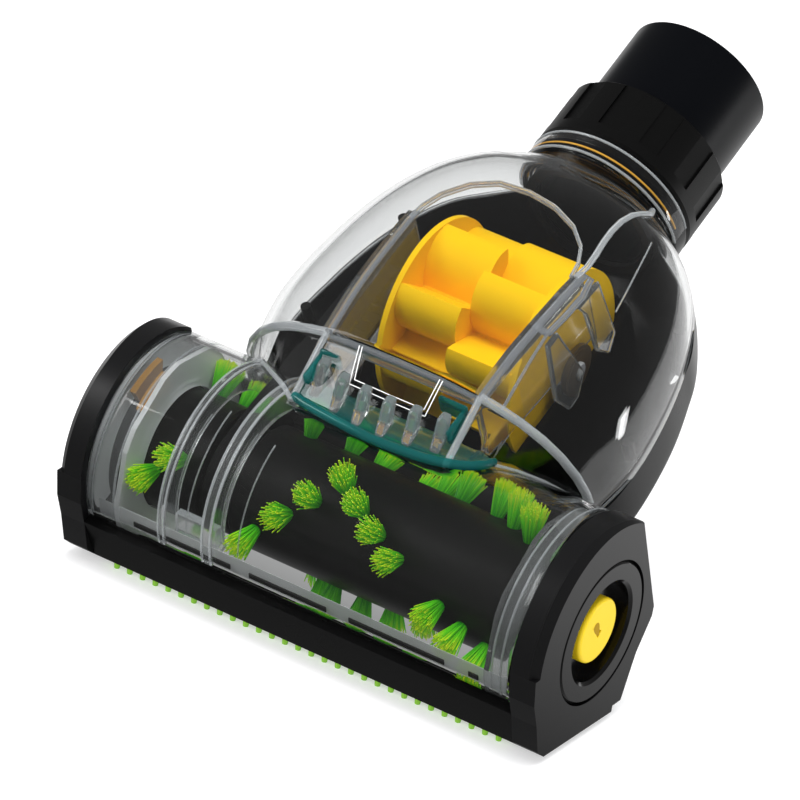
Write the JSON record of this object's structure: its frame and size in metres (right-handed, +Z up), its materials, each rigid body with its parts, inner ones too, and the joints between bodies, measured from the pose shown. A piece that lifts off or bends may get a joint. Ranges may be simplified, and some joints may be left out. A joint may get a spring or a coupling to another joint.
{
  "type": "vacuum turbo brush",
  "caption": "Mini turbo nozzle for a vacuum cleaner: clear cover over a chevron brush roll, a yellow air turbine with a toothed belt drive, a swivelling neck tube and a yellow lock knob.",
  "frame": {"origin": "On the floor below the middle of the whole nozzle, at the height of the rubber pegs' tips.", "axes": "X runs along the brush roll towards the end with the lock knob, Y to the rear towards the wand, Z up."},
  "size_m": [0.15, 0.191, 0.1377],
  "materials": {
    "black_shell": "moulded, satin gloss",
    "clear_cover": "clear moulded plastic, polished",
    "clear_inner": "clear moulded plastic",
    "black_cap": "moulded, satin gloss",
    "lemon_yellow": "moulded, smooth",
    "black_roll": "moulded, satin",
    "steel": "plain steel",
    "bushing_yellow": "moulded, smooth",
    "bristle_green": "nylon filament",
    "turbine_yellow": "moulded, smooth",
    "bronze": "sintered bronze",
    "belt_rubber": "matt rubber",
    "teal_tray": "moulded, smooth",
    "green_rubber": "soft rubber",
    "black_collar": "moulded, satin",
    "tube_black": "moulded, satin gloss"
  },
  "bodies": {
    "housing": {"base_shell": "black_shell", "top_cover": "clear_cover", "end_cap_left": "black_cap", "end_cap_right": "black_cap", "access_plug": "black_cap", "end_shield_left": "clear_inner", "end_shield_right": "clear_inner", "roll_bushing_left": "bushing_yellow", "roll_bushing_right": "bushing_yellow", "turbine_bearing_left": "bronze", "turbine_bearing_right": "bronze", "toothed_belt": "belt_rubber", "inlet_grille": "teal_tray", "front_peg_strip": "green_rubber", "rear_peg_strip": "green_rubber", "housing_screws": "steel"},
    "roll": {"roll_core_long": "black_roll", "roll_core_short": "black_roll", "roll_pulley": "black_roll", "roll_axle": "steel", "tuft_row_a": "bristle_green", "tuft_row_b": "bristle_green", "tuft_row_c": "bristle_green"},
    "turbine": {"turbine_rotor": "turbine_yellow", "turbine_shaft": "steel", "drive_pinion": "black_roll"},
    "neck": {"connector_tube": "tube_black", "grip_collar": "black_collar", "neck_seal": "belt_rubber"},
    "knob": {"lock_knob": "lemon_yellow"}
  },
  "joints": [
    {"name": "roll_spin", "type": "hinge", "parent": "housing", "child": "roll", "pos_m": [0, -0.06296, 0.031], "axis": [1, 0, 0], "continuous": true},
    {"name": "turbine_spin", "type": "hinge", "parent": "housing", "child": "turbine", "pos_m": [0, -0.00974, 0.07056], "axis": [1, 0, 0], "continuous": true},
    {"name": "neck_swivel", "type": "hinge", "parent": "housing", "child": "neck", "pos_m": [0, 0.04504, 0.09589], "axis": [0, 0.8572, 0.515], "continuous": true},
    {"name": "lock_turn", "type": "hinge", "parent": "housing", "child": "knob", "pos_m": [0.0704, -0.06296, 0.031], "axis": [1, 0, 0], "range_deg": [0, 90]}
  ],
  "couplings": [
    {"joint": "turbine_spin", "follows": "roll_spin", "ratio": 2.7273}
  ]
}
